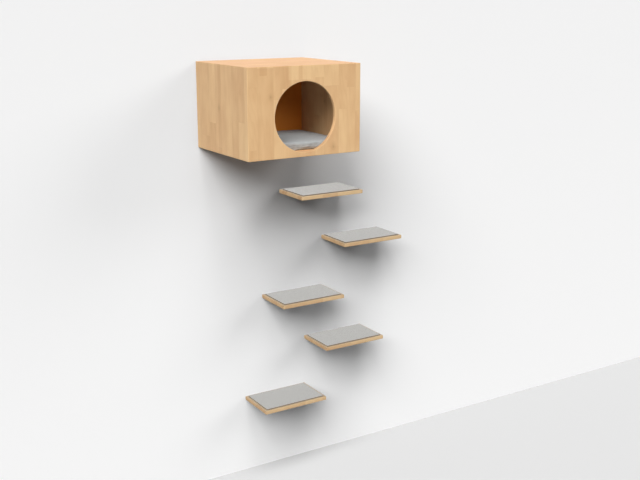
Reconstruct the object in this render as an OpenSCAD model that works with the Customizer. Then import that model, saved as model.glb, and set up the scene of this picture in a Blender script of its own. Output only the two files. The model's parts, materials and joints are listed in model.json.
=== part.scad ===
// A wall-hung cat climbing set: a beech house with a round entrance and a loose
// cushion, and five felt-topped steps that float on concealed brackets.
// Millimetres. The wall is the plane y = 0 and everything stands out along -Y.
// The origin is the middle of the screw row in the rail that the house hangs on.

/* [House] */
// Width of the house along the wall
house_w = 570; // [450:5:760]
// Depth of the house from the wall to its front face
house_d = 500; // [400:5:600]
// Height of the house
house_h = 396; // [380:2:520]
// Thickness of the solid beech panels
panel_t = 18; // [16:1:20]
// Radius of the eased outer edges
house_edge_r = 1.5; // [0.5:0.5:3]
// Distance from the top of the house down to the rail's wall screws
rail_drop = 92; // [80:2:140]

/* [Entrance] */
// Diameter of the round entrance
entrance_d = 307; // [200:1:320]
// Height of the entrance's lowest point above the floor inside
entrance_sill = 2.5; // [2.5:0.5:20]
// Radius of the eased edge of the entrance, on both faces
entrance_edge_r = 2; // [0.5:0.5:2.5]

/* [Back panel] */
// Thickness of the orange back panel
back_t = 12; // [9:1:15]
// How far the back panel is let into each beech panel
rebate_w = 9; // [8:0.5:10]
// Gap between the back panel's edges and the rebate
back_play = 0.2; // [0.1:0.1:0.5]
// Screws along the top and along the bottom of the back panel
back_screws_wide = 3; // [2:1:5]
// Screws along each side of the back panel
back_screws_high = 2; // [2:1:4]
// Distance from the back panel's corner to its nearest screw
back_screw_inset = 90; // [70:5:120]

/* [Hanging rails] */
// Thickness of the aluminium rail profile
rail_t = 2.5; // [2:0.5:3]
// Height of the rail's flat flange
rail_flange_h = 22; // [20:1:28]
// Height of the rail's hooked lip
rail_lip_h = 12; // [8:1:14]
// Play between the two hooked lips
rail_play = 0.3; // [0.2:0.1:0.6]
// Gap left where the upper lip's tip sits down in the lower rail
rail_seat = 0.2; // [0.1:0.1:0.4]
// Distance from the house's inner side to the end of the rails
rail_end_gap = 32; // [20:1:50]
// Distance from the rail's end to its outer wall screw
rail_hole_inset = 25; // [15:1:40]
// Spacing of the two inner wall screws of the rail
rail_inner_spacing = 160; // [100:5:200]
// Diameter of the holes for the wall screws
wall_hole_d = 5.5; // [4.5:0.5:6.5]
// Screws that hold the upper rail to the back panel
rail_screw_count = 5; // [3:1:7]

/* [Corner biscuits] */
// Length of a beech biscuit
biscuit_l = 53; // [45:1:56]
// Width of a biscuit, half of it in each panel
biscuit_w = 19; // [15:1:19]
// Thickness of a biscuit
biscuit_t = 4; // [3:0.5:4]
// Width of a biscuit's blunt ends
biscuit_tip = 5; // [3:1:7]
// Distance along the mitre from its inner corner to the middle of the biscuit
biscuit_heel = 8; // [6:0.5:9]
// Distance from the end of a mitre to its nearest biscuit's centre
biscuit_inset = 75; // [65:5:90]
// Extra depth and length of a slot all round the biscuit
slot_play = 0.8; // [0.5:0.1:1]
// Extra thickness of a slot
slot_side_play = 0.2; // [0.1:0.05:0.3]
// Biscuits along each mitre that runs out from the wall
biscuits_deep = 3; // [2:1:4]
// Biscuits along the front mitres of the top and the floor
biscuits_wide = 3; // [2:1:4]
// Biscuits along the upright front mitres
biscuits_high = 2; // [2:1:3]

/* [Cushion] */
// Thickness of the cushion at its rolled edge, before the crown
cushion_h = 35; // [22:1:50]
// Extra height of the crown in the middle
cushion_crown = 3; // [0:1:12]
// Height of the seam above the cushion's underside
cushion_seam_z = 14; // [8:1:16]
// How far each side is drawn in between the corners
cushion_draw = 3; // [0:1:8]
// How far each corner is rounded off
cushion_corner = 12; // [6:1:20]
// Bare floor left in front of the cushion
cushion_free = 38; // [20:1:80]
// Clearance between the cushion and the side and back panels
cushion_gap = 1.5; // [1:0.5:4]
// Clearance between the cushion and the floor panel
cushion_lift = 0.3; // [0.2:0.1:0.5]

/* [Steps] */
// Number of steps
step_count = 5; // [2:1:7]
// Length of a step along the wall
step_w = 350; // [300:5:450]
// Depth of a step from the wall
step_d = 220; // [190:5:300]
// Thickness of a step's board
step_t = 18; // [17:1:25]
// Radius of the eased edges of a step
step_edge_r = 1.5; // [0.5:0.5:3]
// From the underside of the house down to the top of the first step's board
first_step_drop = 246; // [200:2:320]
// From the top of one board down to the top of the next
step_drop = 264; // [200:2:320]
// Sideways place of the first step's middle from the middle of the house
first_step_x = 322; // [200:2:400]
// Sideways shift to the right from an odd step to the next
shift_right = 246; // [100:2:400]
// Sideways shift to the left from an even step to the next
shift_left = 352; // [100:2:400]

/* [Felt pads] */
// Thickness of the felt
pad_t = 5; // [3:0.5:8]
// Wood left bare round the felt
pad_margin = 11; // [6:1:20]
// Radius of the felt's corners
pad_corner_r = 3; // [1:0.5:8]

/* [Step brackets] */
// Thickness of the bracket's steel plate
plate_t = 5; // [4:0.5:6]
// Height of the plate, hidden in the board's back edge
plate_h = 12; // [12:0.5:13]
// Distance from the board's end to the plate's end
plate_inset = 32; // [25:1:50]
// Distance from the plate's end to its wall screw
plate_hole_inset = 16; // [14:1:22]
// Distance from the wall screw to the rod
rod_offset = 32; // [25:1:40]
// Diameter of the steel rods
rod_d = 10; // [8:0.5:10]
// How far the rods reach out from the wall
rod_l = 135; // [110:1:150]
// Gap between a rod's tip and the end of its bore
rod_end_play = 1; // [0.5:0.5:2]
// Radius of the weld at the foot of a rod
weld_r = 1; // [0.5:0.25:1]
// Gap between the steel and the wood round a rod
rod_play = 0.1; // [0.05:0.05:0.2]
// Gap between the plate and the groove it lies in
groove_play = 0.3; // [0.2:0.1:0.5]
// Depth of the countersink for a wall screw's head
head_sink = 2.5; // [2:0.25:2.75]
// Depth of the pocket in the board for a head that stands proud
head_room = 3; // [2:0.5:5]
// Distance from the wall to the locking screws
lock_y = 70; // [50:1:90]

/* [Screws] */
// Diameter of the screws in the back panel
back_screw_d = 3.5; // [3:0.5:4]
// Length of the screws in the back panel
back_screw_l = 30; // [25:1:40]
// Diameter of the screws in the upper rail
rail_screw_d = 4; // [3.5:0.5:4]
// How far a rail screw reaches into the back panel
rail_screw_bite = 8; // [6:0.5:8]
// Diameter of the locking screws
lock_d = 4; // [3:0.5:4]
// How far a locking screw reaches into its rod
lock_bite = 4; // [3:0.5:4]
// Play between a screw and its hole, on the radius
screw_play = 0.05; // [0.05:0.05:0.1]

/* [Hidden] */

beech = "#E3BC8B";
biscuit_wood = "#D9B07A";
orange = "#C8560F";
felt = "#B9B8B4";
cushion_grey = "#9C9C9C";
aluminium = "#C4C7CA";
steel = "#8D9196";
zinc = "#A9ABA6";

round_fn = 64;          // facets of the small round forms
large_fn = 180;         // facets of the entrance and of the biscuits' long arcs
over = 1;               // how far a cutter runs past the face that it opens
root2 = sqrt(2);
head_share = 0.95;      // a screw head's radius for each mm of its diameter
socket_share = 0.75;    // width of its hexagon socket, the same way
socket_deep = 0.35;     // depth of that socket, the same way

// The house, from the origin at the rail's screw row
top_z = rail_drop;
bottom_z = top_z - house_h;
floor_z = bottom_z + panel_t;
inner_w = house_w - 2 * panel_t;
inner_h = house_h - 2 * panel_t;
front_y = -house_d;
front_inner_y = front_y + panel_t;
back_rear_y = -(2 * rail_t + rail_play);
back_front_y = back_rear_y - back_t;
entrance_r = entrance_d / 2;
entrance_z = floor_z + entrance_sill + entrance_r;

// The back panel, let into the rebate of the four panels round it
back_w = inner_w + 2 * (rebate_w - back_play);
back_h = inner_h + 2 * (rebate_w - back_play);
back_mid_z = bottom_z + house_h / 2;

// The rails: the upper one is the lower one turned upside down, hooked over its lip
rail_l = inner_w - 2 * rail_end_gap;
rail_jog = rail_t + rail_play;
upper_rail_z = rail_flange_h + 2 * rail_t + rail_play + rail_lip_h + rail_seat;
rail_outer_spacing = rail_l - 2 * rail_hole_inset;

// The cushion
cushion_w = inner_w - 2 * cushion_gap;
cushion_back_y = back_front_y - cushion_gap;
cushion_front_y = front_inner_y + cushion_free;
cushion_d = cushion_back_y - cushion_front_y;
cushion_mid_y = (cushion_back_y + cushion_front_y) / 2;

// The steps
plate_l = step_w - 2 * plate_inset;
plate_hole_x = plate_l / 2 - plate_hole_inset;
rod_x = plate_hole_x - rod_offset;
mid_z = -step_t / 2;    // the bracket's middle, from the board's top
lock_l = step_t / 2 - rod_d / 2 + lock_bite;
function step_x(n) = first_step_x + floor(n / 2) * shift_right - floor((n - 1) / 2) * shift_left;
function step_z(n) = bottom_z - first_step_drop - (n - 1) * step_drop;

// Where two panels meet: direction of the edge, direction from the inner corner to the
// outer one, the outer corner at the edge's middle, and the length of the edge
function mitre_deep(sx, sz) =
    let (start_y = back_front_y, end_y = front_inner_y)
    [[0, 1, 0], [sx, 0, sz] / root2,
     [sx * house_w / 2, (start_y + end_y) / 2, sz > 0 ? top_z : bottom_z],
     start_y - end_y, biscuits_deep];
function mitre_wide(sz) =
    [[1, 0, 0], [0, -1, sz] / root2, [0, front_y, sz > 0 ? top_z : bottom_z],
     house_w, biscuits_wide];
function mitre_high(sx) =
    [[0, 0, 1], [sx, -1, 0] / root2, [sx * house_w / 2, front_y, back_mid_z],
     house_h, biscuits_high];
mitres = concat([for (sx = [-1, 1], sz = [-1, 1]) mitre_deep(sx, sz)],
                [for (s = [-1, 1]) mitre_wide(s)],
                [for (s = [-1, 1]) mitre_high(s)]);

// Places evenly spaced along a length, the first and last an inset from its ends
function spread(length, inset, count) =
    [for (i = [0 : count - 1]) -length / 2 + inset + i * (length - 2 * inset) / (count - 1)];

// Outlines

module eased_rect(w, h, r) {
    translate([r, 0]) square([w - 2 * r, h]);
    translate([0, r]) square([w, h - 2 * r]);
    for (x = [r, w - r], y = [r, h - r])
        translate([x, y]) circle(r = r, $fn = round_fn);
}

// A block against the wall: all its edges are eased but those at the wall, y = 0
module eased_block(w, d, h, r) {
    intersection() {
        translate([-w / 2, 0, 0]) rotate([90, 0, 0]) linear_extrude(d) eased_rect(w, h, r);
        translate([-w / 2, -d, 0]) linear_extrude(h) eased_rect(w, d + 2 * r, r);
        translate([-w / 2, -d, 0]) rotate([90, 0, 90]) linear_extrude(w) eased_rect(d + 2 * r, h, r);
    }
}

// Across one panel from its outer face, with its edges cut to 45 degrees
module mitred_profile(length, bevel_both) {
    polygon([[0, 0], [length, 0], [length - panel_t, -panel_t],
             [bevel_both ? panel_t : 0, -panel_t]]);
}

// A panel with its outer face up at z = 0, mitred at both ends and at the front;
// its back edge lies on y = 0 and is square unless all four edges are mitred
module mitred_panel(w, d, all_edges = false) {
    intersection() {
        translate([-w / 2, 0, 0]) rotate([90, 0, 0]) linear_extrude(d) mitred_profile(w, true);
        translate([-w / 2, 0, 0]) rotate([90, 0, 90]) mirror([1, 0, 0])
            linear_extrude(w) mitred_profile(d, all_edges);
    }
}

module house_block() {
    translate([0, 0, bottom_z]) eased_block(house_w, house_d, house_h, house_edge_r);
}

// Screws and their holes: the head's top is at z = 0 and the tip points along -z

module countersunk(d, length, play = 0) {
    head_r = d * head_share + play;
    shank_r = d / 2 + play;
    tip = -length - play;
    rotate_extrude($fn = round_fn)
        polygon([[0, 0], [head_r, 0], [shank_r, shank_r - head_r], [shank_r, tip + d / 2], [0, tip]]);
}

module countersunk_screw(d, length) {
    difference() {
        countersunk(d, length);
        translate([0, 0, -d * socket_deep]) cylinder(d = d * socket_share, h = d, $fn = 6);
    }
}

module screw_hole(d, length) {
    countersunk(d, length, screw_play);
    cylinder(r = d * head_share + screw_play, h = over, $fn = round_fn);
}

// Biscuits

// Two arcs that meet in blunt ends
module lens(l, w, t) {
    rise = (w - biscuit_tip) / 2;
    r = (pow(l / 2, 2) + pow(rise, 2)) / (2 * rise);
    translate([0, 0, -t / 2]) linear_extrude(t) intersection() {
        translate([0, r - w / 2]) circle(r = r, $fn = large_fn);
        translate([0, w / 2 - r]) circle(r = r, $fn = large_fn);
        square([l, w + over], center = true);
    }
}

// Puts its children on a mitre at each of its biscuit places, length along the edge
module along_mitre(mitre) {
    edge = mitre[0];
    out = mitre[1];
    across = cross(out, edge);
    heel = mitre[2] - out * (panel_t * root2 - biscuit_heel);
    for (s = spread(mitre[3], biscuit_inset, mitre[4])) {
        p = heel + edge * s;
        multmatrix([[edge.x, across.x, out.x, p.x],
                    [edge.y, across.y, out.y, p.y],
                    [edge.z, across.z, out.z, p.z],
                    [0, 0, 0, 1]]) children();
    }
}

module biscuit_slots(list) {
    for (mitre = list)
        along_mitre(mitre)
            lens(biscuit_l + 2 * slot_play, biscuit_w + 2 * slot_play, biscuit_t + slot_side_play);
}

module corner_biscuits() {
    color(biscuit_wood)
        for (mitre = mitres)
            along_mitre(mitre) lens(biscuit_l, biscuit_w, biscuit_t);
}

// Back panel

// The rebate runs in from the wall round the inside of the four panels
module rebate() {
    w = inner_w + 2 * rebate_w;
    h = inner_h + 2 * rebate_w;
    translate([-w / 2, back_front_y, back_mid_z - h / 2]) cube([w, -back_front_y + over, h]);
}

// Places of the back panel's screws, their heads in its rear face
module at_back_screws() {
    edge = rebate_w / 2 - back_play;
    xs = spread(back_w, back_screw_inset, back_screws_wide);
    zs = spread(back_h, back_screw_inset, back_screws_high);
    for (x = xs, side = [-1, 1])
        translate([x, back_rear_y, back_mid_z + side * (back_h / 2 - edge)]) rotate([-90, 0, 0])
            children();
    for (z = zs, side = [-1, 1])
        translate([side * (back_w / 2 - edge), back_rear_y, back_mid_z + z]) rotate([-90, 0, 0])
            children();
}

module back_screws() {
    color(zinc) at_back_screws() countersunk_screw(back_screw_d, back_screw_l);
}

module back_screw_holes() {
    at_back_screws() screw_hole(back_screw_d, back_screw_l);
}

module house_back() {
    color(orange) difference() {
        translate([-back_w / 2, back_front_y, back_mid_z - back_h / 2])
            cube([back_w, back_t, back_h]);
        back_screw_holes();
        rail_screw_holes();
    }
}

// House panels

module house_level_panel(sz) {
    color(beech) difference() {
        intersection() {
            house_block();
            translate([0, 0, sz > 0 ? top_z : bottom_z]) rotate([0, sz > 0 ? 0 : 180, 0])
                mitred_panel(house_w, house_d);
        }
        rebate();
        biscuit_slots([mitre_deep(-1, sz), mitre_deep(1, sz), mitre_wide(sz)]);
        back_screw_holes();
    }
}

module house_top() {
    house_level_panel(1);
}

module house_floor() {
    house_level_panel(-1);
}

module house_side_panel(sx) {
    color(beech) difference() {
        intersection() {
            house_block();
            translate([sx * house_w / 2, 0, back_mid_z]) rotate([0, sx * 90, 0])
                mitred_panel(house_h, house_d);
        }
        rebate();
        biscuit_slots([mitre_deep(sx, -1), mitre_deep(sx, 1), mitre_high(sx)]);
        back_screw_holes();
    }
}

module house_left() {
    house_side_panel(-1);
}

module house_right() {
    house_side_panel(1);
}

// Opens a round hole from z = 0 down to z = -depth and eases its edge on both faces
module eased_hole(r, depth, ease) {
    translate([0, 0, -depth - over]) cylinder(r = r, h = depth + 2 * over, $fn = large_fn);
    for (face = [0, 1])
        translate([0, 0, -face * depth]) mirror([0, 0, face]) rotate_extrude($fn = large_fn)
            difference() {
                translate([r - over, -ease]) square([over + ease, ease + over]);
                translate([r + ease, -ease]) circle(r = ease, $fn = round_fn);
            }
}

module house_front() {
    color(beech) difference() {
        intersection() {
            house_block();
            translate([0, front_y, top_z]) rotate([90, 0, 0])
                mitred_panel(house_w, house_h, true);
        }
        translate([0, front_y, entrance_z]) rotate([90, 0, 0])
            eased_hole(entrance_r, panel_t, entrance_edge_r);
        biscuit_slots([mitre_wide(-1), mitre_wide(1), mitre_high(-1), mitre_high(1)]);
    }
}

// Rails

// The bent profile seen from the end: x runs out from the wall, y up, and the screw
// row is at y = 0
module rail_profile() {
    top = rail_flange_h / 2;
    tip = top + rail_jog + rail_lip_h;
    polygon([[0, -top], [0, top], [rail_jog, top + rail_jog], [rail_jog, tip],
             [rail_jog + rail_t, tip], [rail_jog + rail_t, top + rail_jog + rail_t - root2 * rail_t],
             [rail_t, top + rail_t - root2 * rail_t], [rail_t, -top]]);
}

module rail_bar() {
    translate([rail_l / 2, 0, 0]) rotate([90, 0, -90]) linear_extrude(rail_l) rail_profile();
}

module wall_rail() {
    color(aluminium) difference() {
        rail_bar();
        for (x = [rail_outer_spacing / 2, rail_inner_spacing / 2], side = [-1, 1])
            translate([side * x, over, 0]) rotate([90, 0, 0])
                cylinder(d = wall_hole_d, h = rail_t + 2 * over, $fn = round_fn);
    }
}

// Places of the upper rail's screws, their heads flush with the face towards the wall
module at_rail_screws() {
    for (x = spread(rail_l, rail_hole_inset, rail_screw_count))
        translate([x, back_rear_y + rail_t, upper_rail_z]) rotate([-90, 0, 0]) children();
}

module rail_screw_holes() {
    at_rail_screws() screw_hole(rail_screw_d, rail_t + rail_screw_bite);
}

module house_rail() {
    color(aluminium) difference() {
        translate([0, back_rear_y, upper_rail_z]) rotate([180, 0, 0]) rail_bar();
        rail_screw_holes();
    }
}

module house_rail_screws() {
    color(zinc) at_rail_screws() countersunk_screw(rail_screw_d, rail_t + rail_screw_bite);
}

// Cushion: a grid from corner to corner, its lines closer together towards the edges.
// u and v run from -1 to 1 across its width and its depth.

cells_u = 24;
cells_v = 20;
roll = 24;              // the higher, the tighter the cushion's rolled edge
settle = 1.15;          // the higher, the closer to its edge the cushion lies on the floor

function grid(i, cells) = sin(90 * (2 * i / cells - 1));
function sides_in(half, v) = half - cushion_draw * (1 - v * v) - cushion_corner * pow(v, roll);
function cushion_fill(u, v) = sqrt(max(0, 1 - pow(u, roll)) * max(0, 1 - pow(v, roll)));
function cushion_plan(u, v) =
    [u * sides_in(cushion_w / 2, v), v * sides_in(cushion_d / 2, u)];
function cushion_top_z(u, v) =
    cushion_seam_z + (cushion_h - cushion_seam_z) * cushion_fill(u, v)
    + cushion_crown * (1 - u * u) * (1 - v * v);
function cushion_under_z(u, v) = cushion_seam_z * (1 - min(1, settle * cushion_fill(u, v)));
function on_rim(i, j) = i == 0 || i == cells_u || j == 0 || j == cells_v;
function top_at(i, j) = i * (cells_v + 1) + j;
function under_at(i, j) =
    on_rim(i, j) ? top_at(i, j)
    : (cells_u + 1) * (cells_v + 1) + (i - 1) * (cells_v - 1) + j - 1;

module cushion() {
    uppers = [for (i = [0 : cells_u], j = [0 : cells_v])
        let (u = grid(i, cells_u), v = grid(j, cells_v), p = cushion_plan(u, v))
        [p.x, p.y, cushion_top_z(u, v)]];
    unders = [for (i = [1 : cells_u - 1], j = [1 : cells_v - 1])
        let (u = grid(i, cells_u), v = grid(j, cells_v), p = cushion_plan(u, v))
        [p.x, p.y, cushion_under_z(u, v)]];
    upper_faces = [for (i = [0 : cells_u - 1], j = [0 : cells_v - 1])
        each [[top_at(i, j), top_at(i, j + 1), top_at(i + 1, j)],
              [top_at(i, j + 1), top_at(i + 1, j + 1), top_at(i + 1, j)]]];
    under_faces = [for (i = [0 : cells_u - 1], j = [0 : cells_v - 1])
        each [[under_at(i, j), under_at(i + 1, j + 1), under_at(i, j + 1)],
              [under_at(i, j), under_at(i + 1, j), under_at(i + 1, j + 1)]]];
    color(cushion_grey) translate([0, cushion_mid_y, floor_z + cushion_lift])
        polyhedron(points = concat(uppers, unders), faces = concat(upper_faces, under_faces));
}

// Steps, each drawn with the middle of its board's top back edge at the origin

module at_step(n) {
    translate([step_x(n), 0, step_z(n)]) children();
}

// Puts its children under the board at each locking screw, pointing up into the rod
module at_locks() {
    for (side = [-1, 1])
        translate([side * rod_x, -lock_y, -step_t]) rotate([180, 0, 0]) children();
}

module rod(r, length) {
    tip = 1;            // chamfer that helps the board on
    rotate_extrude($fn = round_fn)
        polygon([[0, 0], [r, 0], [r, length - tip], [r - tip, length], [0, length]]);
}

// The weld widens the foot of a rod where it leaves the plate
module weld(play) {
    rotate_extrude($fn = round_fn)
        polygon([[0, 0], [rod_d / 2 + weld_r + play, 0], [rod_d / 2 + play, weld_r], [0, weld_r]]);
}

module at_rods() {
    for (side = [-1, 1])
        translate([side * rod_x, 0, mid_z]) rotate([90, 0, 0]) children();
}

module step_board() {
    color(beech) difference() {
        translate([0, 0, -step_t]) eased_block(step_w, step_d, step_t, step_edge_r);
        // groove for the plate, with a pocket for each wall screw's head
        translate([-plate_l / 2 - groove_play, -plate_t - groove_play, mid_z - plate_h / 2 - groove_play])
            cube([plate_l + 2 * groove_play, plate_t + groove_play + over, plate_h + 2 * groove_play]);
        for (side = [-1, 1])
            translate([side * plate_hole_x, over, mid_z]) rotate([90, 0, 0])
                cylinder(d = plate_h, h = plate_t + head_room + over, $fn = round_fn);
        at_rods() {
            cylinder(r = rod_d / 2 + rod_play, h = rod_l + rod_end_play, $fn = round_fn);
            translate([0, 0, plate_t]) weld(groove_play);
        }
        at_locks() screw_hole(lock_d, lock_l);
    }
}

// Round hole for a wall screw, sunk for its head on the side away from the wall
module wall_screw_hole() {
    r = wall_hole_d / 2;
    translate([0, 0, -over]) cylinder(r = r, h = plate_t + 2 * over, $fn = round_fn);
    cylinder(r1 = r + head_sink, r2 = r, h = head_sink, $fn = round_fn);
}

module step_bracket() {
    color(steel) difference() {
        union() {
            translate([-plate_l / 2, -plate_t, mid_z - plate_h / 2]) cube([plate_l, plate_t, plate_h]);
            at_rods() {
                rod(rod_d / 2, rod_l);
                translate([0, 0, plate_t]) weld(0);
            }
        }
        for (side = [-1, 1])
            translate([side * plate_hole_x, -plate_t, mid_z]) rotate([-90, 0, 0])
                wall_screw_hole();
        at_locks() screw_hole(lock_d, lock_l);
    }
}

module step_pad() {
    w = step_w - 2 * pad_margin;
    d = step_d - 2 * pad_margin;
    color(felt) translate([-w / 2, -pad_margin - d, 0]) linear_extrude(pad_t)
        eased_rect(w, d, pad_corner_r);
}

module step_lock_screws() {
    color(zinc)
        for (n = [1 : step_count])
            at_step(n) at_locks() countersunk_screw(lock_d, lock_l);
}

house_top();
house_floor();
house_left();
house_right();
house_front();
house_back();
corner_biscuits();
back_screws();
house_rail();
house_rail_screws();
wall_rail();
cushion();
for (n = [1 : step_count]) {
    at_step(n) step_board();
    at_step(n) step_pad();
    at_step(n) step_bracket();
}
step_lock_screws();
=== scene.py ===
"""A cat's climbing wall: a hanging beech house with a cushion in it, and five felted steps."""
import json
import math

import bmesh
import bpy
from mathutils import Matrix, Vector, noise

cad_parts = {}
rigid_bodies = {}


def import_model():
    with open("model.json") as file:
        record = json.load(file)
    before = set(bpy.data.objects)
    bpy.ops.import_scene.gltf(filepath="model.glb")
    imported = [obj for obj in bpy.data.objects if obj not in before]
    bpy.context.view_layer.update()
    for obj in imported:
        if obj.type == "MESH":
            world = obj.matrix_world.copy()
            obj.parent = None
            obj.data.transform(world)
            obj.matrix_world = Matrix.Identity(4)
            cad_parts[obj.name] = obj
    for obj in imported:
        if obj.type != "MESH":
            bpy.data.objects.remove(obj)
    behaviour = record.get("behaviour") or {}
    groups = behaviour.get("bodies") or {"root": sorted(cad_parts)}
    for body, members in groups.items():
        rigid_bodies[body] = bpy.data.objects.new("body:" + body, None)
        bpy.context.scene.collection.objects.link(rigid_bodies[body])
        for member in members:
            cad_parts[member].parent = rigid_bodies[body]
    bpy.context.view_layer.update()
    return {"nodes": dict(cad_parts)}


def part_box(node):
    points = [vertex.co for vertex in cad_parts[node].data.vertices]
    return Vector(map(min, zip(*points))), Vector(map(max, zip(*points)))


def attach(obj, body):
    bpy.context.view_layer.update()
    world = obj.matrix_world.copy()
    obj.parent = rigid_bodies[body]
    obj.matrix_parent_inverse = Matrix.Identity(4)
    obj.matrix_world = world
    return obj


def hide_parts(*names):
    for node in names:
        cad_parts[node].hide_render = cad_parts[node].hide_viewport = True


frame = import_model()
nodes = frame["nodes"]
X, Y, Z = range(3)

# The five outer panels of the house: 18 mm beech, glued up from staves that are butted end to
# end, fine sanded and given a clear satin lacquer. The staves stand upright in the front and
# the sides and run from side to side in the top and the floor, so they meet at the mitres.


class Value:
    """Something that changes over a surface; sums on it are sums on the surface."""

    def __init__(self, finish, socket):
        self.finish = finish
        self.socket = socket

    def maths(self, operation, *others):
        return self.finish.node("Math", {"operation": operation}, dict(enumerate((self, *others))))

    def __add__(self, other):
        return self.maths("ADD", other)

    def __sub__(self, other):
        return self.maths("SUBTRACT", other)

    def __rsub__(self, other):
        return self * -1 + other

    def __mul__(self, other):
        return self.maths("MULTIPLY", other)

    def __pow__(self, other):
        return self.maths("POWER", other)

    def __abs__(self):
        return self.maths("ABSOLUTE")

    __radd__ = __add__

    def floor(self):
        return self.maths("FLOOR")

    def fraction(self):
        return self.maths("FRACT")

    def wave(self):
        return self.maths("SINE")

    def root(self):
        return self.maths("SQRT")

    def at_least(self, other):
        return self.maths("MAXIMUM", other)

    def at_most(self, other):
        return self.maths("MINIMUM", other)

    def rise(self, start, end, low=0.0, high=1.0):
        """Goes smoothly from low to high while this goes from start to end."""
        return self.finish.node(
            "MapRange", {"interpolation_type": "SMOOTHSTEP"},
            {"Value": self, "From Min": start, "From Max": end, "To Min": low, "To Max": high})


class Finish:
    """The finish of one material, built up from nodes."""

    def __init__(self, name, inputs):
        self.material = bpy.data.materials.new(name)
        self.material.use_nodes = True
        self.tree = self.material.node_tree
        self.surface = self.tree.nodes["Principled BSDF"]
        self.wear(inputs)

    def wear(self, inputs):
        """Sets or links sockets of the surface."""
        for key, value in inputs.items():
            self.fill(self.surface.inputs[key], value)

    def fill(self, socket, value):
        if isinstance(value, Value):
            self.tree.links.new(value.socket, socket)
        else:
            socket.default_value = value

    def node(self, kind, settings=None, inputs=None, output=0):
        """Adds a node, sets it up, and fills its sockets."""
        node = self.tree.nodes.new("ShaderNode" + kind)
        for key, value in (settings or {}).items():
            setattr(node, key, value)
        for key, value in (inputs or {}).items():
            self.fill(node.inputs[key], value)
        return Value(self, node.outputs[output])

    def vector(self, x, y, z):
        return self.node("CombineXYZ", inputs={0: x, 1: y, 2: z})

    def parts(self, vector):
        """The three numbers in a vector or a colour."""
        return [self.node("SeparateXYZ", inputs={0: vector}, output=k) for k in range(3)]

    def place(self):
        """Where a point of the object is, in metres."""
        return self.parts(self.node("TexCoord", output="Object"))

    def facing(self):
        """Which way the surface looks."""
        return self.parts(self.node("TexCoord", output="Normal"))

    def cloud(self, vector, scale=1.0, detail=2.0):
        """Soft random patches, from 0 to 1 and mostly near 0.5."""
        return self.node("TexNoise", {"noise_dimensions": "3D"},
                         {"Vector": vector, "Scale": scale, "Detail": detail})

    def dice(self, x, y, z):
        """Three random numbers for each set of whole numbers."""
        thrown = self.node("TexWhiteNoise", {"noise_dimensions": "3D"},
                           {"Vector": self.vector(x, y, z)}, output="Color")
        return self.parts(thrown)

    def blend(self, factor, first, second):
        """From one colour to another as factor goes from 0 to 1."""
        return self.node("Mix", {"data_type": "RGBA", "clamp_factor": True},
                         {0: factor, 6: first, 7: second}, output=2)

    def relief(self, height, depth):
        """Small hills of up to depth metres."""
        return self.node("Bump", inputs={"Height": height, "Distance": depth})

    def coat(self, *names):
        """Gives pieces of the frame this finish."""
        for name in names:
            for place in nodes[name].material_slots:
                place.material = self.material


PALE_BEECH = (0.84, 0.565, 0.295, 1)
RED_BEECH = (0.64, 0.365, 0.175, 1)
GLUE_LINE = (0.42, 0.235, 0.105, 1)
KNOT = (0.36, 0.19, 0.085, 1)
END_GRAIN = (0.36, 0.205, 0.10, 1)
PAINTED_TOP_SHADE = (0.17, 0.15, 0.12, 1)
RING = 0.0031           # width of a year's growth
JOINT = 0.00035         # half width of a glue line


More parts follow.
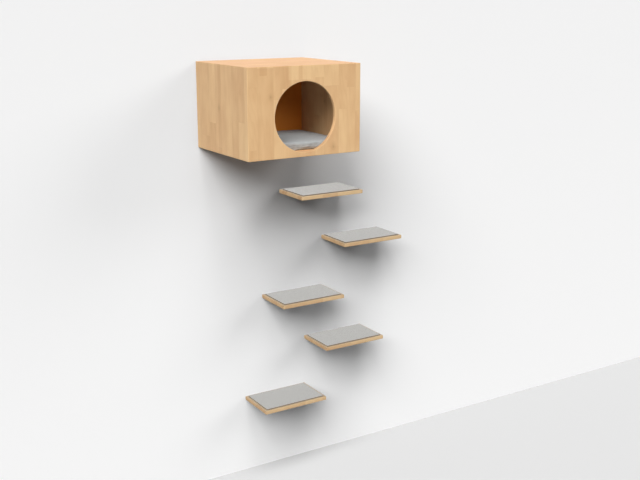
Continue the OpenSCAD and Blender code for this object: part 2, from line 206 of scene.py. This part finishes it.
def glued_beech(name, along, across, stave, length, seed, ripe=0.36, varied=0.42,
                knots=(), tints=(), tones=(PALE_BEECH, RED_BEECH), ends=0.65, top_shade=0.0):
    """Beech whose staves run along one axis, side by side across another.

    Ripe wood is redder, and varied says how much the staves differ. A knot has a place across and
    along and a size. A tint has its bounds across and along and an amount of red. The share ends
    of the end grain's tone lies on what faces along; what faces up is darkened with painted shade,
    in the share that the last argument gives.
    """
    through = 3 - along - across
    wood = Finish(name, {"Specular IOR Level": 0.4})
    place = wood.place()

    # staves of uneven width, each cut into lengths that start at its own place
    row = place[across] * (1 / stave) + seed * 3.7
    row = row + (row * 2.1).wave() * 0.2
    stave_no = row.floor()
    start, _, _ = wood.dice(stave_no, seed, 0.5)
    run = place[along] * (1 / length) + start * 9.7
    run = run + (run * 2.6 + start * 30).wave() * 0.13
    run_no = run.floor()
    lean, flat, tone = wood.dice(stave_no, run_no, seed)

    # growth rings round a pith that lies beside or behind each length
    sideways = (row.fraction() - 0.5) * stave + (lean - 0.5) * 0.13
    inward = place[through] + flat * 0.07 + 0.012
    drift = wood.vector(place[across] * 22, place[through] * 22, place[along] * 2.4 + lean * 40)
    waver = wood.cloud(drift, detail=3) - 0.5
    radius = (sideways * sideways + inward * inward).root()
    radius = radius + place[along] * (lean - flat) * 0.045 + waver * 0.011
    year = (radius * (1 / RING)).fraction()
    late = year.rise(0.45, 0.93) * year.rise(1.0, 0.93)

    def drawn(fine, long, detail=2.0):
        """Patches that are drawn out along the grain, their own in each length."""
        shift = tone * 31 + lean * 17
        return wood.cloud(wood.vector(place[across] * fine + shift, place[through] * fine + shift * 2,
                                      place[along] * long), detail=detail)

    fleck = drawn(1500, 170).rise(0.60, 0.74)
    fibre = drawn(620, 16, 3)
    streak = drawn(48, 3.0, 3)
    blotch = drawn(16, 7)
    end = abs(wood.facing()[along]).rise(0.35, 0.8)
    speck = wood.cloud(wood.vector(*place), scale=1500, detail=1).rise(0.52, 0.7)

    def between(value, low, high):
        """1 from low to high, and 0 past a glue line on either side."""
        return value.rise(low - JOINT, low + JOINT) * value.rise(high + JOINT, high - JOINT)

    shade = (tone - 0.5) * varied + late * 0.09 + (fibre - 0.5) * 0.22 + (streak - 0.5) * 0.22
    shade = shade + (blotch - 0.5) + fleck * (1 - end) * 0.26 + speck * end * 0.3 + ripe
    for low, high, bottom, top, amount in tints:
        tinted = between(place[across], low, high) * between(place[along], bottom, top)
        shade = shade + tinted * amount
    colour = wood.blend(shade, *tones)
    colour = wood.blend(end * ends, colour, END_GRAIN)

    # glue lines between staves and where lengths butt
    beside = (0.5 - abs(row.fraction() - 0.5)) * stave
    butted = (0.5 - abs(run.fraction() - 0.5)) * length
    glue = 1 - beside.at_most(butted).rise(JOINT * 0.4, JOINT * 1.6)
    colour = wood.blend(glue * 0.22, colour, GLUE_LINE)

    # a knot is longer than wide, with a faint halo round a darker middle
    for x, y, size in knots:
        far = ((place[across] - x) ** 2 + ((place[along] - y) * 0.62) ** 2).root() + waver * size * 1.2
        colour = wood.blend(far.rise(size * 4.5, size * 0.8, 0.0, 0.26), colour, GLUE_LINE)
        colour = wood.blend(far.rise(size * 1.5, size * 0.3, 0.0, 0.26), colour, KNOT)

    # painted shade: what faces up is coloured darker, as if shaded by the pad beside it
    if top_shade:
        colour = wood.blend(wood.facing()[Z].rise(0.6, 0.97, 0.0, top_shade), colour, PAINTED_TOP_SHADE)

    grain = fibre * 0.5 - fleck * 0.35 - glue * 0.5 - late * 0.12 - speck * end * 0.5
    wood.wear({"Base Color": colour, "Normal": wood.relief(grain, 0.00006),
               "Roughness": 0.43 + fibre * 0.10 + fleck * 0.10 + end * 0.12})
    return wood


glued_beech("beech front", Z, X, 0.055, 0.31, 3,
            knots=[(-0.173, -0.036, 0.0035), (0.143, -0.270, 0.0045)],
            tints=[(-0.085, -0.035, 0.032, 0.092, -0.3), (-0.015, 0.027, 0.032, 0.092, -0.38),
                   (-0.225, -0.190, 0.055, 0.092, 0.3)]).coat("house_front")
glued_beech("beech sides", Z, Y, 0.074, 0.42, 8, knots=[(-0.230, -0.100, 0.004)],
            tints=[(-0.300, -0.222, -0.304, 0.092, 0.20)]).coat("house_left", "house_right")
# The top and the floor take riper wood, redder and darker than the sides: painted shade that tones down
# the top's brightness under the overhead lamps.
glued_beech("beech level", X, Y, 0.045, 0.42, 5, ripe=1.0).coat("house_top", "house_floor")

# The flat beech biscuits in the mitres, pressed from thin stock with the grain across the joint
# and left bare, because glue has to swell them.
biscuit_wood = Finish("pressed beech", {"Roughness": 0.8})
where = biscuit_wood.vector(*biscuit_wood.place())
pressed = biscuit_wood.cloud(where, scale=300, detail=4)
bare = biscuit_wood.blend(pressed, (0.62, 0.38, 0.19, 1), (0.45, 0.26, 0.12, 1))
biscuit_wood.wear({"Base Color": bare, "Normal": biscuit_wood.relief(pressed, 0.0001)})
biscuit_wood.coat("corner_biscuits")

# The back panel: fibre board with a satin orange laminate on both faces, let into a rebate
# round the four panels and screwed there. Its faces keep the laminate's faint press texture.
orange = Finish("orange laminate", {"Specular IOR Level": 0.45})
where = orange.vector(*orange.place())
dapple = orange.cloud(where, scale=900, detail=2)
handled = orange.cloud(where, scale=9, detail=4)
orange.wear({"Base Color": orange.blend(handled, (0.90, 0.30, 0.035, 1), (0.80, 0.25, 0.028, 1)),
             "Roughness": 0.36 + handled * 0.14, "Normal": orange.relief(dapple, 0.00004)})
orange.coat("house_back")

# Zinc-plated screws, bright with the dull bloom that plating gets.
zinc = Finish("zinc plate", {"Metallic": 1.0})
where = zinc.vector(*zinc.place())
bloom = zinc.cloud(where, scale=420, detail=4)
zinc.wear({"Base Color": zinc.blend(bloom, (0.66, 0.67, 0.68, 1), (0.50, 0.50, 0.49, 1)),
           "Roughness": 0.28 + bloom * 0.2, "Normal": zinc.relief(bloom, 0.00003)})
zinc.coat("back_screws", "house_rail_screws", "step_lock_screws")

# The two hooked rails: mill-finish aluminium, with the fine lines that the die leaves along it.
rail = Finish("mill aluminium", {"Metallic": 1.0})
where = rail.place()
die_lines = rail.cloud(rail.vector(where[X] * 3, where[Y] * 2600, where[Z] * 2600), detail=3)
dulled = rail.cloud(rail.vector(*where), scale=35, detail=4)
rail.wear({"Base Color": rail.blend(dulled, (0.56, 0.57, 0.58, 1), (0.46, 0.47, 0.48, 1)),
           "Roughness": 0.28 + die_lines * 0.18 + dulled * 0.08,
           "Normal": rail.relief(die_lines, 0.00003)})
rail.coat("house_rail", "wall_rail")

# The boards of the steps: the same glued beech in narrower staves and a shade duller than the
# house, their grain along the wall, so the short ends show end grain. Their faces that look up,
# the margin round the pads, are darkened with painted shade.
DULL_BEECH = (0.613, 0.43, 0.239, 1)
DULL_RED_BEECH = (0.467, 0.277, 0.142, 1)
for number in range(1, 6):
    plank = glued_beech(f"beech step {number}", X, Y, 0.036, 0.11, 10 + number * 1.3, ripe=0.24,
                        varied=0.75, tones=(DULL_BEECH, DULL_RED_BEECH), ends=0.2, top_shade=0.6)
    plank.coat(f"step_{number}_board")

# The brackets hidden in the boards: a hot-rolled plate with two welded rods, zinc plated.
bracket = Finish("plated bracket", {"Metallic": 1.0})
where = bracket.vector(*bracket.place())
mottle = bracket.cloud(where, scale=160, detail=5)
bracket.wear({"Base Color": bracket.blend(mottle, (0.50, 0.52, 0.55, 1), (0.33, 0.34, 0.37, 1)),
              "Roughness": 0.34 + mottle * 0.2, "Normal": bracket.relief(mottle, 0.00006)})
bracket.coat(*(f"step_{number}_bracket" for number in range(1, 6)))

# The felt pads: 5 mm grey wool felt, cut with a knife and glued to the boards. The nap rounds
# their upper edge a little, and the face is not quite level. Their sides are coloured a dark
# brown: painted shade.
felt = Finish("grey felt", {"Roughness": 0.95, "Specular IOR Level": 0.15,
                            "Sheen Weight": 0.25, "Sheen Roughness": 0.6})
where = felt.place()
hairs = []
for turn in range(4):
    lean = turn * 0.78 + 0.3
    there = where[X] * math.cos(lean) + where[Y] * math.sin(lean)
    off = where[Y] * math.cos(lean) - where[X] * math.sin(lean)
    hairs.append(felt.cloud(felt.vector(there * 160, off * 2300, where[Z] * 1500 + turn * 9), detail=2))
matted = hairs[0].at_least(hairs[1]).at_least(hairs[2]).at_least(hairs[3])
lumps = felt.cloud(felt.vector(*where), scale=90, detail=3)
fuzz = matted.rise(0.45, 0.8)
face = felt.blend(fuzz * 0.7 + lumps * 0.4 - 0.1, (0.249, 0.245, 0.234, 1), (0.367, 0.361, 0.345, 1))
# painted shade: the pad's sides are coloured dark brown, as if in shadow
shaded_side = felt.blend(lumps, (0.145, 0.11, 0.075, 1), (0.215, 0.165, 0.115, 1))
felt.wear({"Base Color": felt.blend(felt.facing()[Z].rise(0.6, 0.97), shaded_side, face),
           "Normal": felt.relief(fuzz + lumps * 0.4, 0.00025)})
FELT_CORNER = 0.003     # radius of a corner, seen from above
FELT_EDGE = 0.0011      # radius of the upper edge
FELT_CELL = 0.0028      # size of the face's cells
FELT_SUNK = 0.0002      # how far the face lies below the solid's, to leave room for its hills
FELT_SWELL = 0.00022    # height of the broad swells of the face
FELT_HILL = 0.00009     # height of the small hills on them
FELT_ROUGH = 0.00025    # how unevenly the side is cut


def felt_pad(number):
    """A pad with a hilly face, a rounded upper edge, a rough side and a flat underside."""
    low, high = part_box(f"step_{number}_pad")
    middle = (low + high) / 2
    half = (high - low) / 2
    thick = high.z - low.z

    def lines(reach):
        """Lines across the pad, close together at its edge."""
        edge = [0.0, 0.0003, 0.0007, FELT_EDGE, 0.0018, FELT_CORNER]
        count = round(2 * (reach - edge[-1]) / FELT_CELL)
        inner = [-reach + edge[-1] + (2 * (reach - edge[-1])) * k / count for k in range(1, count)]
        return [-reach + e for e in edge] + inner + [reach - e for e in reversed(edge)]

    mesh = bmesh.new()
    grid = []
    for x in lines(half.x):
        column = []
        for y in lines(half.y):
            # the corner's square is pressed into a quarter of a disc
            past = Vector((max(0, abs(x) - half.x + FELT_CORNER),
                           max(0, abs(y) - half.y + FELT_CORNER)))
            inset = min(half.x - abs(x), half.y - abs(y))
            shrink = max(past) / past.length if min(past) > 0 else 1
            px = x - math.copysign(past.x * (1 - shrink), x)
            py = y - math.copysign(past.y * (1 - shrink), y)
            drop = FELT_EDGE - math.sqrt(max(0, FELT_EDGE ** 2 - max(0, FELT_EDGE - inset) ** 2))
            hill = noise.noise(Vector((px * 30, py * 30, number * 7))) * FELT_SWELL
            hill += noise.noise(Vector((px * 190, py * 190, number * 3))) * FELT_HILL

            # only the rim lies this near to the side, and only it is cut
            rough = noise.noise(Vector((px * 240, py * 240, 5))) * FELT_ROUGH if inset < 0.0002 else 0
            column.append(mesh.verts.new((middle.x + px + math.copysign(rough, px),
                                          middle.y + py + math.copysign(rough, py),
                                          high.z - FELT_SUNK - drop + hill)))
        grid.append(column)
    for a, b in zip(grid, grid[1:]):
        for p, q, r, s in zip(a, b, b[1:], a[1:]):
            mesh.faces.new((p, q, r, s))

    # rings of the side: their height as a share of the pad's, and how far they swell outwards
    rim = ([column[0] for column in grid] + grid[-1][1:]
           + [column[-1] for column in grid[-2::-1]] + grid[0][-2:0:-1])
    upper = rim
    for height, swell in ((0.62, 0.00012), (0.3, 0.0001), (0.0, -0.0002)):
        lower = []
        for top in rim:
            out = Vector((top.co.x - middle.x, top.co.y - middle.y, 0)).normalized() * swell
            lower.append(mesh.verts.new((top.co.x + out.x, top.co.y + out.y, low.z + thick * height)))
        for k in range(len(rim)):
            n = (k + 1) % len(rim)
            mesh.faces.new((upper[n], upper[k], lower[k], lower[n]))
        upper = lower
    mesh.faces.new(upper)

    bmesh.ops.recalc_face_normals(mesh, faces=mesh.faces)
    data = bpy.data.meshes.new(f"felt_pad_{number}")
    mesh.to_mesh(data)
    mesh.free()
    data.polygons.foreach_set("use_smooth", [True] * len(data.polygons))
    data.materials.append(felt.material)
    pad = bpy.data.objects.new(f"felt_pad_{number}", data)
    bpy.context.scene.collection.objects.link(pad)
    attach(pad, "root")
    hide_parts(f"step_{number}_pad")


for number in range(1, 6):
    felt_pad(number)

# The cushion: two woven panels sewn together round the edge and filled with foam. It is fuller
# in the middle, drawn in between its corners, and puckers along the seam.
THREAD = 0.0011         # width of a thread of its cover
cloth = Finish("grey weave", {"Roughness": 0.9, "Specular IOR Level": 0.2,
                              "Sheen Weight": 0.3, "Sheen Roughness": 0.5})
where = cloth.place()
warp = (where[X] * (math.pi / THREAD)).wave()
weft = (where[Y] * (math.pi / THREAD)).wave()
yarn = warp * warp * 0.5 + weft * weft * 0.5
slub = cloth.cloud(cloth.vector(where[X] * 60, where[Y] * 700, where[Z] * 200), detail=3)
melange = cloth.cloud(cloth.vector(where[X] * 800, where[Y] * 90, where[Z] * 200), detail=3)
soft = slub * 0.5 + melange * 0.5
woven = cloth.blend(soft.rise(0.3, 0.7), (0.260, 0.272, 0.274, 1), (0.405, 0.424, 0.427, 1))
cloth.wear({"Base Color": woven, "Normal": cloth.relief(yarn + soft * 0.6, 0.00022)})
CUSHION_CELL = 0.006    # mean size of the cover's cells
SEAM_HIGH = 0.014       # height of the seam above the cushion's underside
SEAM_PROUD = 0.0012     # how far the seam stands out all round
CROWN = 0.003           # how much higher the middle is than the rolled edge
DRAWN_IN = 0.003        # how far each side is drawn in between the corners
CORNER = 0.012          # how far each corner is rounded off
ROLL = 24               # the higher, the tighter the edge
PUCKER = 0.0003         # height of the puckers along the seam
PUCKERS = 420           # how close together they are, in radians to the metre
UNEVEN = 0.0012         # height of the broad unevenness of the top
SEWN_OVER = 0.001       # the most that the sewn form may rise above the foam's own height
LYING = 0.001           # what lies lower than this is held flat on the floor panel
TAKEN_IN = 0.002        # how far each side of the empty cover lies in
SLACK = 0.004           # how much longer its cloth is than the sewn form
FILLED = 1.04           # volume of the stuffed cover, counted from the empty one
PRESSURE = 100          # of the air inside and outside, which balance at that volume
STRETCH = 20            # stiffness of the cloth against stretching and squeezing
BEND = 2                # stiffness of the cloth against bending
DRAG = 8                # how strongly the air slows the cloth down
SETTLING = 25           # steps until it lies still
MOST_MOVED = 0.006      # the most that stuffing may move a point of it
MOST_RISEN = 0.004      # the most that its crown may rise above the foam's own height


def stuff(cover, low, high):
    """Fills the slack cover by cloth simulation; its underside stays flat on the floor panel."""
    middle = (low + high) / 2
    for vertex in cover.data.vertices:
        for k in (X, Y):
            taken_in = 1 - 2 * TAKEN_IN / (high[k] - low[k])
            vertex.co[k] = middle[k] + (vertex.co[k] - middle[k]) * taken_in
    sewn = [vertex.co.copy() for vertex in cover.data.vertices]
    solid = bmesh.new()
    solid.from_mesh(cover.data)
    empty = solid.calc_volume()
    solid.free()
    lying = cover.vertex_groups.new(name="lying")
    lying.add([k for k, place in enumerate(sewn) if place.z < low.z + LYING], 1.0, "REPLACE")
    simulated = cover.modifiers.new("stuffing", "CLOTH")
    simulated.collision_settings.use_collision = False
    fabric = simulated.settings
    fabric.vertex_group_mass = "lying"
    fabric.use_pressure = fabric.use_pressure_volume = True
    fabric.uniform_pressure_force = 0
    fabric.pressure_factor = PRESSURE
    fabric.target_volume = empty * FILLED
    fabric.effector_weights.gravity = 0
    fabric.tension_stiffness = fabric.compression_stiffness = STRETCH
    fabric.bending_stiffness = BEND
    fabric.air_damping = DRAG
    fabric.shrink_min = -SLACK
    for step in range(1, SETTLING + 1):
        bpy.context.scene.frame_set(step)
    filled = cover.evaluated_get(bpy.context.evaluated_depsgraph_get()).data
    moves = [vertex.co - place for vertex, place in zip(filled.vertices, sewn)]
    cover.modifiers.remove(simulated)
    cover.vertex_groups.clear()
    bpy.context.scene.frame_set(1)
    ceiling = high + Vector((0, 0, MOST_RISEN))
    for vertex, place, move in zip(cover.data.vertices, sewn, moves):
        place = place + move * min(1, MOST_MOVED / max(move.length, MOST_MOVED))
        vertex.co = [max(low[k], min(ceiling[k], place[k])) for k in (X, Y, Z)]


def cushion():
    """Sews the cover, stuffs it and lays it on the floor panel."""
    low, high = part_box("cushion")
    middle = (low + high) / 2
    half = (high - low) / 2
    thick = high.z - low.z
    counts = [round(2 * half[k] / CUSHION_CELL) for k in (X, Y)]

    def form(u, v, upper):
        """A point of the cover; u and v run from -1 to 1 from side to side and back to front."""
        x = u * (half.x - DRAWN_IN * (1 - v * v) - CORNER * v ** ROLL)
        y = v * (half.y - DRAWN_IN * (1 - u * u) - CORNER * u ** ROLL)
        full = math.sqrt(max(0, 1 - u ** ROLL) * max(0, 1 - v ** ROLL))
        rim = 1 - full
        seam = low.z + SEAM_HIGH
        edge = min(1 - abs(u), 1 - abs(v))
        trail = y if abs(u) > abs(v) else x
        pucker = math.sin(trail * PUCKERS + 3 * noise.noise(Vector((x * 20, y * 20, 1))))
        pucker *= PUCKER * math.exp(-edge * 22) * (0.6 + noise.noise(Vector((x * 14, y * 14, 4))))
        if upper:
            z = seam + (thick - CROWN - SEAM_HIGH) * full + CROWN * (1 - u * u) * (1 - v * v)
            z += noise.noise(Vector((x * 9, y * 9, 2))) * UNEVEN * full + pucker * full
        else:
            z = seam - SEAM_HIGH * min(1, 1.15 * full) + pucker * rim * 0.5
        return Vector((middle.x + x, middle.y + y, max(low.z, min(high.z + SEWN_OVER, z))))

    def stops(count):
        """Places from -1 to 1, closer together towards both ends."""
        even = [2 * i / count - 1 for i in range(count + 1)]
        return [math.sin(math.pi / 2 * (0.35 * t + 0.65 * math.sin(math.pi / 2 * t))) for t in even]

    def point_below(i, j):
        """A point of the underside, which shares its rim with the top."""
        if i in (0, counts[0]) or j in (0, counts[1]):
            return top[i][j]
        return mesh.verts.new(form(wide[i], deep[j], False))

    mesh = bmesh.new()
    wide, deep = stops(counts[0]), stops(counts[1])
    top = [[mesh.verts.new(form(u, v, True)) for v in deep] for u in wide]
    under = [[point_below(i, j) for j in range(counts[1] + 1)] for i in range(counts[0] + 1)]
    for i in range(counts[0]):
        for j in range(counts[1]):
            mesh.faces.new((top[i][j], top[i + 1][j], top[i + 1][j + 1], top[i][j + 1]))
            mesh.faces.new((under[i][j], under[i][j + 1], under[i + 1][j + 1], under[i + 1][j]))
    data = bpy.data.meshes.new("cushion_cover")
    mesh.to_mesh(data)
    mesh.free()
    data.polygons.foreach_set("use_smooth", [True] * len(data.polygons))
    data.materials.append(cloth.material)
    cover = bpy.data.objects.new("cushion_cover", data)
    bpy.context.scene.collection.objects.link(cover)
    stuff(cover, low, high)

    # the seam is the rim of the top; no other point of it moves here
    for i in range(counts[0] + 1):
        for j in range(counts[1] + 1):
            out = Vector(((i == counts[0]) - (i == 0), (j == counts[1]) - (j == 0), 0)).normalized()
            point = cover.data.vertices[i * (counts[1] + 1) + j].co
            point.x = max(low.x, min(high.x, point.x + out.x * SEAM_PROUD))
            point.y = max(low.y, min(high.y, point.y + out.y * SEAM_PROUD))

    smooth = cover.modifiers.new("smooth", "SUBSURF")
    smooth.levels = smooth.render_levels = 1
    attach(cover, "cushion")
    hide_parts("cushion")


cushion()

# The room: a white wall that the set hangs on and a white floor below it. Both are open to a
# look from behind, and the wall is cut away behind the house and the steps.
FLOOR_Z = -2.013
ROOM_LOW, ROOM_HIGH = Vector((-6.0, -7.0, FLOOR_Z)), Vector((8.0, 0.0, 5.0))


def room_finish(name, seen, thrown):
    """A paint with the grey that is seen and the darker one that it throws back as light."""
    paint = Finish(name, {"Roughness": 0.9, "Specular IOR Level": 0.1})
    tree = paint.tree
    looked_at = paint.node("LightPath", output="Is Camera Ray").at_least(
        paint.node("LightPath", output="Is Glossy Ray"))
    paint.wear({"Base Color": paint.blend(looked_at, (thrown, thrown, thrown, 1),
                                          (seen, seen, seen, 1))})
    behind = paint.node("NewGeometry", output="Backfacing")
    clear = paint.node("BsdfTransparent")
    surface = Value(paint, paint.surface.outputs[0])
    shown = paint.node("MixShader", inputs={0: behind, 1: surface, 2: clear})
    tree.links.new(shown.socket, tree.nodes["Material Output"].inputs["Surface"])
    return paint.material


def room_side(name, corners_x, corners_z, behind, material):
    """A wall of cells between lines, left open where one of the boxes behind covers a cell."""
    mesh = bmesh.new()
    for x0, x1 in zip(corners_x, corners_x[1:]):
        for z0, z1 in zip(corners_z, corners_z[1:]):
            x, z = (x0 + x1) / 2, (z0 + z1) / 2
            if not any(a.x < x < b.x and a.z < z < b.z for a, b in behind):
                mesh.faces.new([mesh.verts.new(p) for p in
                                ((x0, 0, z0), (x1, 0, z0), (x1, 0, z1), (x0, 0, z1))])
    bmesh.ops.remove_doubles(mesh, verts=mesh.verts, dist=1e-5)
    data = bpy.data.meshes.new(name)
    mesh.to_mesh(data)
    mesh.free()
    data.materials.append(material)
    side = bpy.data.objects.new(name, data)
    bpy.context.scene.collection.objects.link(side)


RIM = Vector((0.004, 0, 0.004))     # how far the wall reaches in behind what covers it
house_low, house_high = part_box("house_top")
house_low.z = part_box("house_floor")[0].z
covered = [(house_low + RIM, house_high - RIM)]
for number in range(1, 6):
    low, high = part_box(f"step_{number}_board")
    covered.append((low + RIM, high - RIM))
wall_x = sorted([ROOM_LOW.x, ROOM_HIGH.x] + [p.x for pair in covered for p in pair])
wall_z = sorted([ROOM_LOW.z, ROOM_HIGH.z] + [p.z for pair in covered for p in pair])
room_side("room_wall", wall_x, wall_z, covered, room_finish("white wall", 0.98, 0.15))

floor_mesh = bpy.data.meshes.new("room_floor")
floor_mesh.from_pydata([(ROOM_LOW.x, ROOM_LOW.y, FLOOR_Z), (ROOM_HIGH.x, ROOM_LOW.y, FLOOR_Z),
                        (ROOM_HIGH.x, 0, FLOOR_Z), (ROOM_LOW.x, 0, FLOOR_Z)], [], [(0, 1, 2, 3)])
floor_mesh.materials.append(room_finish("white floor", 0.60, 0.10))
room_floor = bpy.data.objects.new("room_floor", floor_mesh)
bpy.context.scene.collection.objects.link(room_floor)

# The light is soft and from far off: a broad key from the left, two lamps overhead that draw the
# long shadows down the wall, a weak one from the right and one behind the wall for the fixings.
# Each has a twin for the steps, which only the wall shades: the house would leave the uppermost
# pad black. A small lamp near by lights the inside.


def lamp_group(name, pieces, state="INCLUDE"):
    """Pieces that a lamp either keeps to or leaves out."""
    group = bpy.data.collections.new(name)
    for piece in pieces:
        group.objects.link(piece)
    for member in group.collection_objects:
        member.light_linking.link_state = state
    return group


step_pieces = [piece for piece in bpy.data.objects if "step_" in piece.name or "felt_pad" in piece.name]
for piece in step_pieces + [nodes["house_left"], nodes["house_top"]]:
    piece.visible_diffuse = False       # no light thrown back at the wall
steps_alone = lamp_group("steps_alone", step_pieces)
all_but_steps = lamp_group("all_but_steps", step_pieces, "EXCLUDE")
wall_alone = lamp_group("wall_alone", [bpy.data.objects["room_wall"]])


def far_lamp(name, azimuth, elevation, spread, level, level_on_steps):
    """A wide, distant lamp and its twin.

    The azimuth is counted from the room towards +X, and a level of 1 makes white paint that
    faces the lamp look white.
    """
    a, e = math.radians(azimuth), math.radians(elevation)
    towards = Vector((math.sin(a) * math.cos(e), -math.cos(a) * math.cos(e), math.sin(e)))
    for ending, strength, lit, shading in (("", level, all_but_steps, None),
                                           ("_steps", level_on_steps, steps_alone, wall_alone)):
        lamp = bpy.data.lights.new(name + ending, "SUN")
        lamp.angle = math.radians(spread)
        lamp.energy = math.pi * strength
        # else its light would leak through the pieces that throw none back
        lamp.cycles.use_multiple_importance_sampling = False
        holder = bpy.data.objects.new(name + ending, lamp)
        holder.rotation_euler = towards.to_track_quat("Z", "Y").to_euler()
        holder.light_linking.receiver_collection = lit
        holder.light_linking.blocker_collection = shading
        bpy.context.scene.collection.objects.link(holder)


far_lamp("light_left", -50, 38, 36, 0.99, 1.03)
far_lamp("light_high", -30, 60, 28, 0.34, 0.42)
far_lamp("light_above", 0, 68, 24, 0.25, 0.37)
far_lamp("light_right", 60, 28, 30, 0.23, 0.13)
far_lamp("light_behind", 170, 35, 60, 0.80, 0.80)

# The small lamp hangs inside above the entrance, out of sight behind the front panel, and shines
# back and down.
INSIDE_TILT = math.radians(50)
INSIDE_LEVEL = 2.9
inside = bpy.data.lights.new("light_inside", "AREA")
inside.shape = "RECTANGLE"
inside.size, inside.size_y = 0.40, 0.05
inside.spread = math.radians(60)
inside.energy = math.pi * inside.size * inside.size_y * INSIDE_LEVEL
inside_holder = bpy.data.objects.new("light_inside", inside)
inside_holder.location = (0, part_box("house_front")[1].y + 0.02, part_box("house_back")[1].z - 0.04)
inside_holder.rotation_euler = Vector((0, -math.cos(INSIDE_TILT), math.sin(INSIDE_TILT))).to_track_quat(
    "Z", "Y").to_euler()
inside_holder.visible_camera = False
bpy.context.scene.collection.objects.link(inside_holder)

# The sky is white to look at, also in a reflection, and dim as a light.
world = bpy.data.worlds.new("sky")
bpy.context.scene.world = world
world.use_nodes = True
sky = world.node_tree
path = sky.nodes.new("ShaderNodeLightPath")
seen = sky.nodes.new("ShaderNodeMath")
seen.operation = "MAXIMUM"
bright = sky.nodes.new("ShaderNodeMapRange")
bright.inputs["To Min"].default_value = 0.02
bright.inputs["To Max"].default_value = 1.0
sky.links.new(path.outputs["Is Camera Ray"], seen.inputs[0])
sky.links.new(path.outputs["Is Glossy Ray"], seen.inputs[1])
sky.links.new(seen.outputs[0], bright.inputs["Value"])
sky.links.new(bright.outputs[0], sky.nodes["Background"].inputs["Strength"])
sky.nodes["Background"].inputs["Color"].default_value = (1, 1, 1, 1)

# The camera stands to the left of the set at the height of the house, and looks a little down.
CAMERA_AT = (-2.1455, -4.0554, 0.3669)
TURN, TILT = math.radians(31.959), math.radians(14.174)
camera = bpy.data.objects.new("camera", bpy.data.cameras.new("camera"))
camera.location = CAMERA_AT
camera.rotation_euler = (math.pi / 2 - TILT, 0, -TURN)
camera.data.lens = 53.66
camera.data.sensor_width = 36.0
bpy.context.scene.collection.objects.link(camera)
bpy.context.scene.camera = camera

bpy.context.scene.view_settings.view_transform = "Standard"
